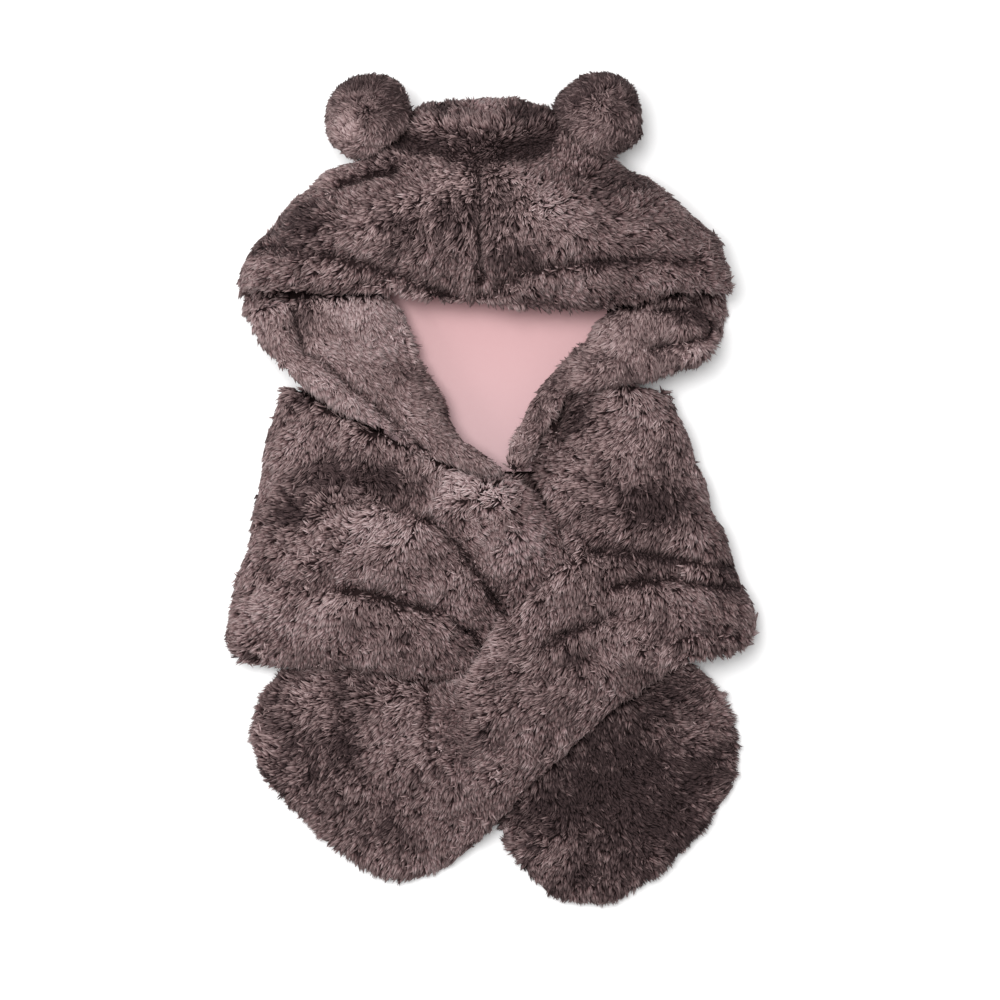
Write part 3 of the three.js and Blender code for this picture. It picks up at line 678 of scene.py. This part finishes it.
# Nap: patches of painted light and shade.
RIGHT_NAP_AND_LIGHT = [
    (57, 51, 11, 16, -0.4), (103, 49, 21, 12, 0.2), (131, 27, 12, 26, 0.14), (61, 7, 22, 12, 0.14),
    (100, -8, 32, 17, -0.48), (103, -44, 46, 6, -0.28), (71, -68, 26, 8, 0.1),
    (136, -71, 26, 6, 0.14), (136, -92, 22, 3, 0.25), (45, -107, 22, 9, -0.06),
    (19, -136, 26, 13, 0.06), (-121, -166, 23, 27, -0.48), (-75, -219, 23, 16, -0.32),
    (-101, -129, 22, 9, -0.2), (-32, -159, 14, 26, 0.08), (-149, -162, 8, 26, 0.14),
    (-56, -244, 32, 6, 0.16), (-14, -201, 22, 13, -0.05), (25, -77, 13, 13, 0.1),
]
scarf_right = backing("scarf_right_backing", "scarf_right", RIGHT_FOLDS, 61, TAUPE_KNIT)
scarf_right_pile = pile(
    "scarf_right_pile", scarf_right, 48500, RIGHT_COMB, RIGHT_NAP_AND_LIGHT, RIGHT_FOLDS, 0.42, 62
)

# Ears: stuffed rounds of the same plush with a shallow dish, sewn to the crown by their narrow
# foot. The pile fans out from the middle of each and folds down over the seam.
FAN, FAN_RISE = 16, 8
EAR_CURL = EAR_LIFT = 1.5
# Ears: name, middle in millimetres, tone of the pile and seed.
EARS = [
    ("ear_left", (-78, 240), 0.29, 71),
    ("ear_right", (69, 242), 0.17, 81),
]
for ear, (ear_x, ear_y), ear_tone, seed in EARS:
    fan = []
    for turn in range(0, 360, 45):
        way = math.radians(turn)
        fan.append((ear_x + FAN * math.cos(way), ear_y + FAN_RISE + FAN * math.sin(way), turn))
    ear_backing = backing(ear + "_backing", ear, [], seed, TAUPE_KNIT)
    # A darker and a lighter patch of nap with painted light and shade.
    ear_nap_and_light = [(ear_x, ear_y + 13, 18, 12, -0.28), (ear_x - 3, ear_y - 12, 18, 9, 0.24)]
    ear_pile = pile(
        ear + "_pile", ear_backing, 8500, fan, ear_nap_and_light, [], ear_tone, seed + 1, EAR_CURL, EAR_LIFT
    )

# Card: a sheet of coated board with rounded corners, tucked into the face opening to fill it out.
# It is plain pink, a little darker towards its top with painted shade under the brim, and its
# coating shows the board's faint tooth.
CARD_FOOT, CARD_TOP = 0.02, 0.13
CARD_PALE, CARD_BRIM_SHADED_PINK, CARD_CLOUD = paint(193, 156, 159), paint(190, 140, 142), paint(187, 140, 143)
CLOUD_SCALE, CLOUD_SHARE = 18.0, 0.25
TOOTH_SCALE, TOOTH_BUMP, TOOTH_DEPTH = 700.0, 0.12, 0.0001
CARD_ROUGHNESS, TOOTH_ROUGHNESS = 0.42, 0.12

card_material, card_shade = material("pink_card")
card_place = card_shade.node("ShaderNodeTexCoord", None, None, 3)
card_parts = card_shade.node("ShaderNodeSeparateXYZ", None, {0: card_place})
card_y = Shade(card_shade.tree, card_parts.socket.node.outputs[1])
# Painted shade under the brim: the pink darkens from the card's foot to its top.
card_brim_shade = card_shade.node(
    "ShaderNodeMapRange",
    None,
    {"Value": card_y, "From Min": CARD_FOOT, "From Max": CARD_TOP, "To Min": 0.0, "To Max": 1.0},
)
card_tooth = card_shade.node(
    "ShaderNodeTexNoise", None, {"Vector": card_place, "Scale": TOOTH_SCALE, "Detail": 3.0}
)
card_cloud = card_shade.node(
    "ShaderNodeTexNoise", None, {"Vector": card_place, "Scale": CLOUD_SCALE, "Detail": 2.0}
)
card_bump = card_shade.node(
    "ShaderNodeBump",
    None,
    {"Height": card_tooth, "Strength": TOOTH_BUMP, "Distance": TOOTH_DEPTH},
)
surface(card_shade, {
    "Base Color": (card_cloud * CLOUD_SHARE).mix(card_brim_shade.mix(CARD_PALE, CARD_BRIM_SHADED_PINK), CARD_CLOUD),
    "Roughness": CARD_ROUGHNESS + card_tooth * TOOTH_ROUGHNESS,
    "Normal": card_bump,
})
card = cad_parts["insert_card"]
card.data.materials.clear()
card.data.materials.append(card_material)
